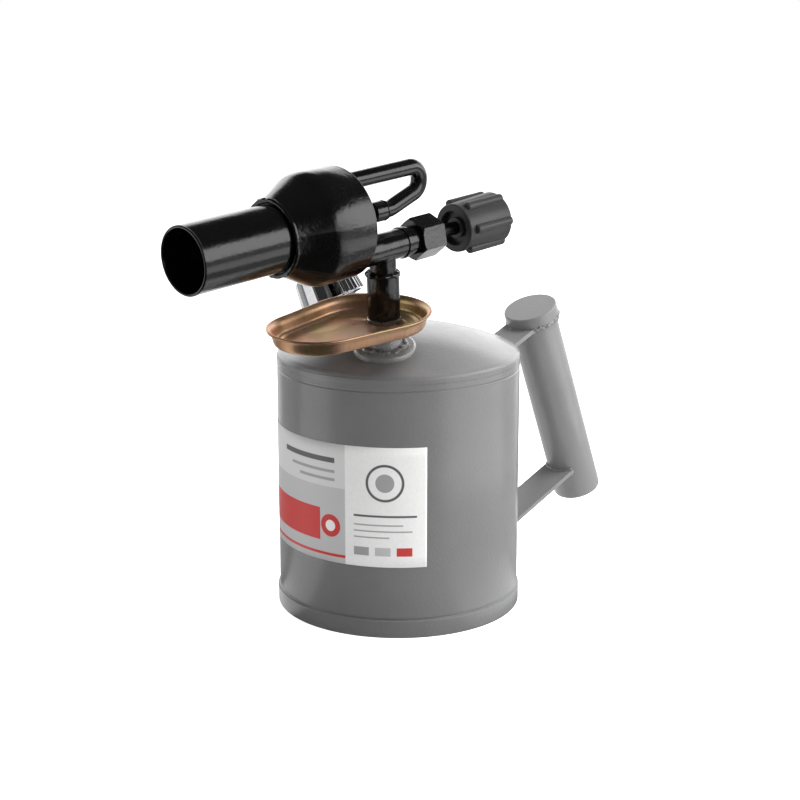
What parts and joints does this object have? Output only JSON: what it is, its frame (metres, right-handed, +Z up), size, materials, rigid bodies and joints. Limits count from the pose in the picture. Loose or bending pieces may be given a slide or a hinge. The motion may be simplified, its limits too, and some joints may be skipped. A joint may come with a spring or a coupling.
{
  "type": "petrol blowlamp",
  "caption": "Petrol blowlamp with a round fuel tank, domed top, hand pump, preheating tray, coiled vaporiser in an open bell, flame barrel, needle valve knob and leaning side handle",
  "frame": {"origin": "middle of the tank's base, on the surface that the lamp stands on", "axes": "+Z up along the tank's axis, -X the way the burner points, +X towards the handle, +Y the side the pump is on"},
  "size_m": [0.2771, 0.1116, 0.2071],
  "materials": {
    "grey_paint": "satin gloss",
    "black_enamel": "gloss",
    "passivated_steel": "yellow passivated",
    "plain_steel": "turned",
    "dark_steel": "blackened",
    "brass": "turned",
    "chrome": "polished",
    "knob_plastic": "satin",
    "rubber": "matt",
    "graphite_packing": "braided",
    "cotton_wick": "twisted",
    "leather": "greased"
  },
  "bodies": {
    "lamp": {"tank_shell": "grey_paint", "tank_bottom": "grey_paint", "tank_dome": "grey_paint", "riser_boss": "grey_paint", "pump_boss": "grey_paint", "handle_tube": "grey_paint", "handle_plug": "grey_paint", "handle_cap": "grey_paint", "lower_strap": "grey_paint", "upper_strap": "grey_paint", "riser_pipe": "black_enamel", "feed_tube": "plain_steel", "feed_wick": "cotton_wick", "gauze_filter": "brass", "preheat_tray": "passivated_steel", "tray_lock_ring": "passivated_steel", "valve_body": "black_enamel", "gland_washer": "brass", "gland_packing": "graphite_packing", "gland_nut": "black_enamel", "burner_bell": "black_enamel", "burner_barrel": "black_enamel", "vaporiser_tube": "black_enamel", "jet_holder": "black_enamel", "jet_nozzle": "brass", "pump_gasket": "rubber", "pump_barrel": "brass", "pump_head_nut": "brass", "check_valve_body": "brass", "check_valve_plug": "brass", "check_valve_spring": "plain_steel"},
    "valve_needle": {"needle_spindle": "dark_steel", "valve_knob": "knob_plastic", "knob_screw": "plain_steel"},
    "plunger": {"pump_rod": "plain_steel", "pump_knob": "chrome", "pump_piston": "brass", "cup_leather": "leather", "piston_nut": "brass"},
    "check_disc": {"check_valve_disc": "rubber"}
  },
  "joints": [
    {"name": "valve_knob_turn", "type": "hinge", "parent": "lamp", "child": "valve_needle", "pos_m": [0.02558, -0.02174, 0.17475], "axis": [0.9962, 0, 0.0872], "range_deg": [0, 720]},
    {"name": "pump_plunge", "type": "slide", "parent": "lamp", "child": "plunger", "axis": [-0.1334, 0.4501, 0.8829], "range_m": [0, 0.05]},
    {"name": "check_valve_lift", "type": "slide", "parent": "lamp", "child": "check_disc", "axis": [0.1334, -0.4501, -0.8829], "range_m": [0, 0.0015], "stiffness_N_per_m": 120, "springref_m": -0.002, "deforming": ["check_valve_spring"]}
  ]
}
